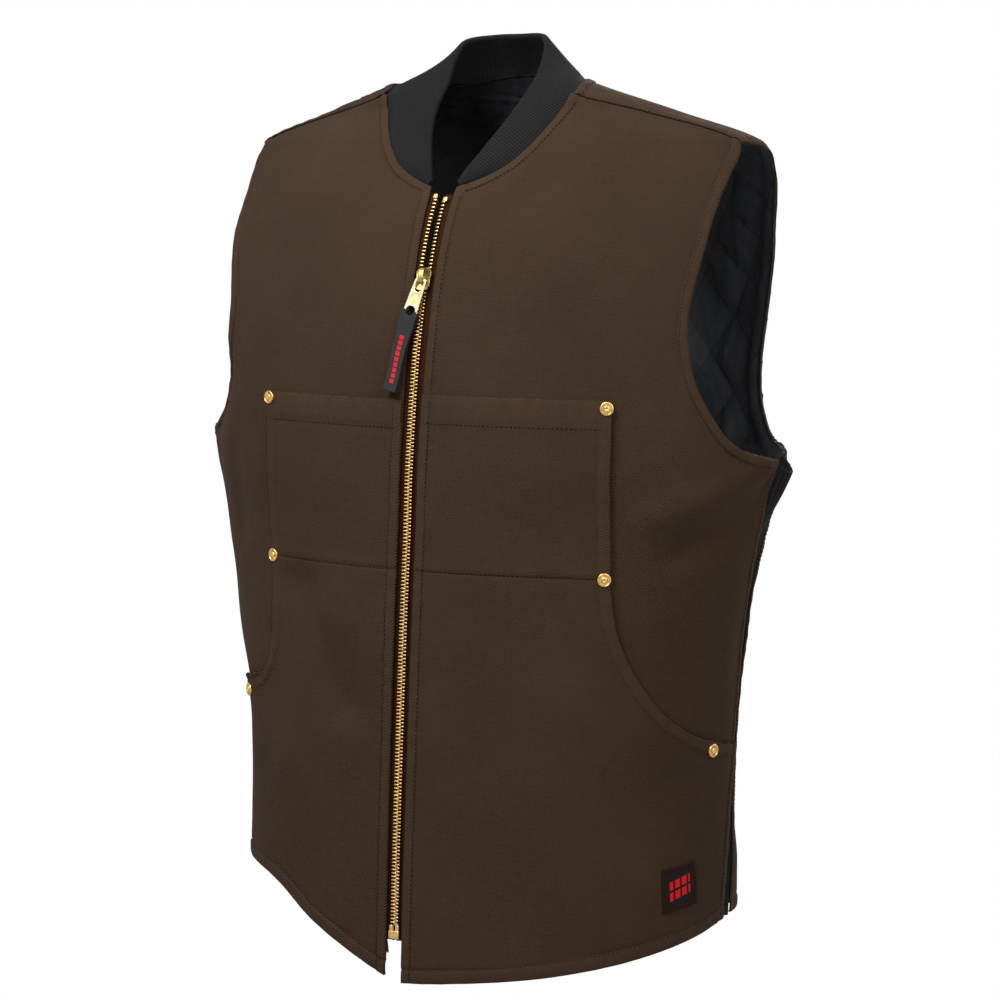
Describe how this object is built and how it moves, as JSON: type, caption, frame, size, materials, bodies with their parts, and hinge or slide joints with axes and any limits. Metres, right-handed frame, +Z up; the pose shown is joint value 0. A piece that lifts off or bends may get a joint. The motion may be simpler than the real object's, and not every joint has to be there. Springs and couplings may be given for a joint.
{
  "type": "work vest",
  "caption": "Zip-front work vest in brown duck canvas with a rib-knit collar and side gussets, quilted lining, large riveted patch pockets and a brass zip with a ribbon pull.",
  "frame": {"origin": "between the shoulders, in the vest's middle plane, at the height where the shoulder seams meet the collar", "axes": "+Z up, -Y to the front where the zip is, +X to the wearer's left"},
  "size_m": [0.5, 0.29, 0.7283],
  "materials": {
    "duck_canvas": "matt woven cotton duck",
    "quilted_lining": "soft sheen nylon quilting",
    "rib_knit": "matt rib knit",
    "brass": "polished brass",
    "zip_tape": "woven tape",
    "ribbon_cloth": "woven ribbon"
  },
  "bodies": {
    "vest": {"back_panel": "duck_canvas", "lining_back": "quilted_lining", "front_panel_left": "duck_canvas", "lining_front_left": "quilted_lining", "front_panel_right": "duck_canvas", "lining_front_right": "quilted_lining", "side_panel_left": "rib_knit", "side_panel_right": "rib_knit", "collar": "rib_knit", "pocket_left": "duck_canvas", "pocket_right": "duck_canvas", "hem_label": "ribbon_cloth", "rivet_left_top": "brass", "rivet_left_middle": "brass", "rivet_left_side": "brass", "rivet_right_top": "brass", "rivet_right_middle": "brass", "rivet_right_side": "brass", "zipper_tape_left": "zip_tape", "zipper_tape_right": "zip_tape", "zipper_chain": "brass", "zipper_teeth_left": "brass", "zipper_teeth_right": "brass", "zipper_stop_left": "brass", "zipper_stop_right": "brass", "zipper_slider": "brass", "zipper_box": "brass"},
    "pull": {"zipper_pull": "brass", "pull_ribbon": "ribbon_cloth"}
  },
  "joints": [
    {"name": "pull_swing", "type": "hinge", "parent": "vest", "child": "pull", "pos_m": [0, -0.1359, -0.1475], "axis": [-1, 0, 0], "range_deg": [0, 130]}
  ]
}
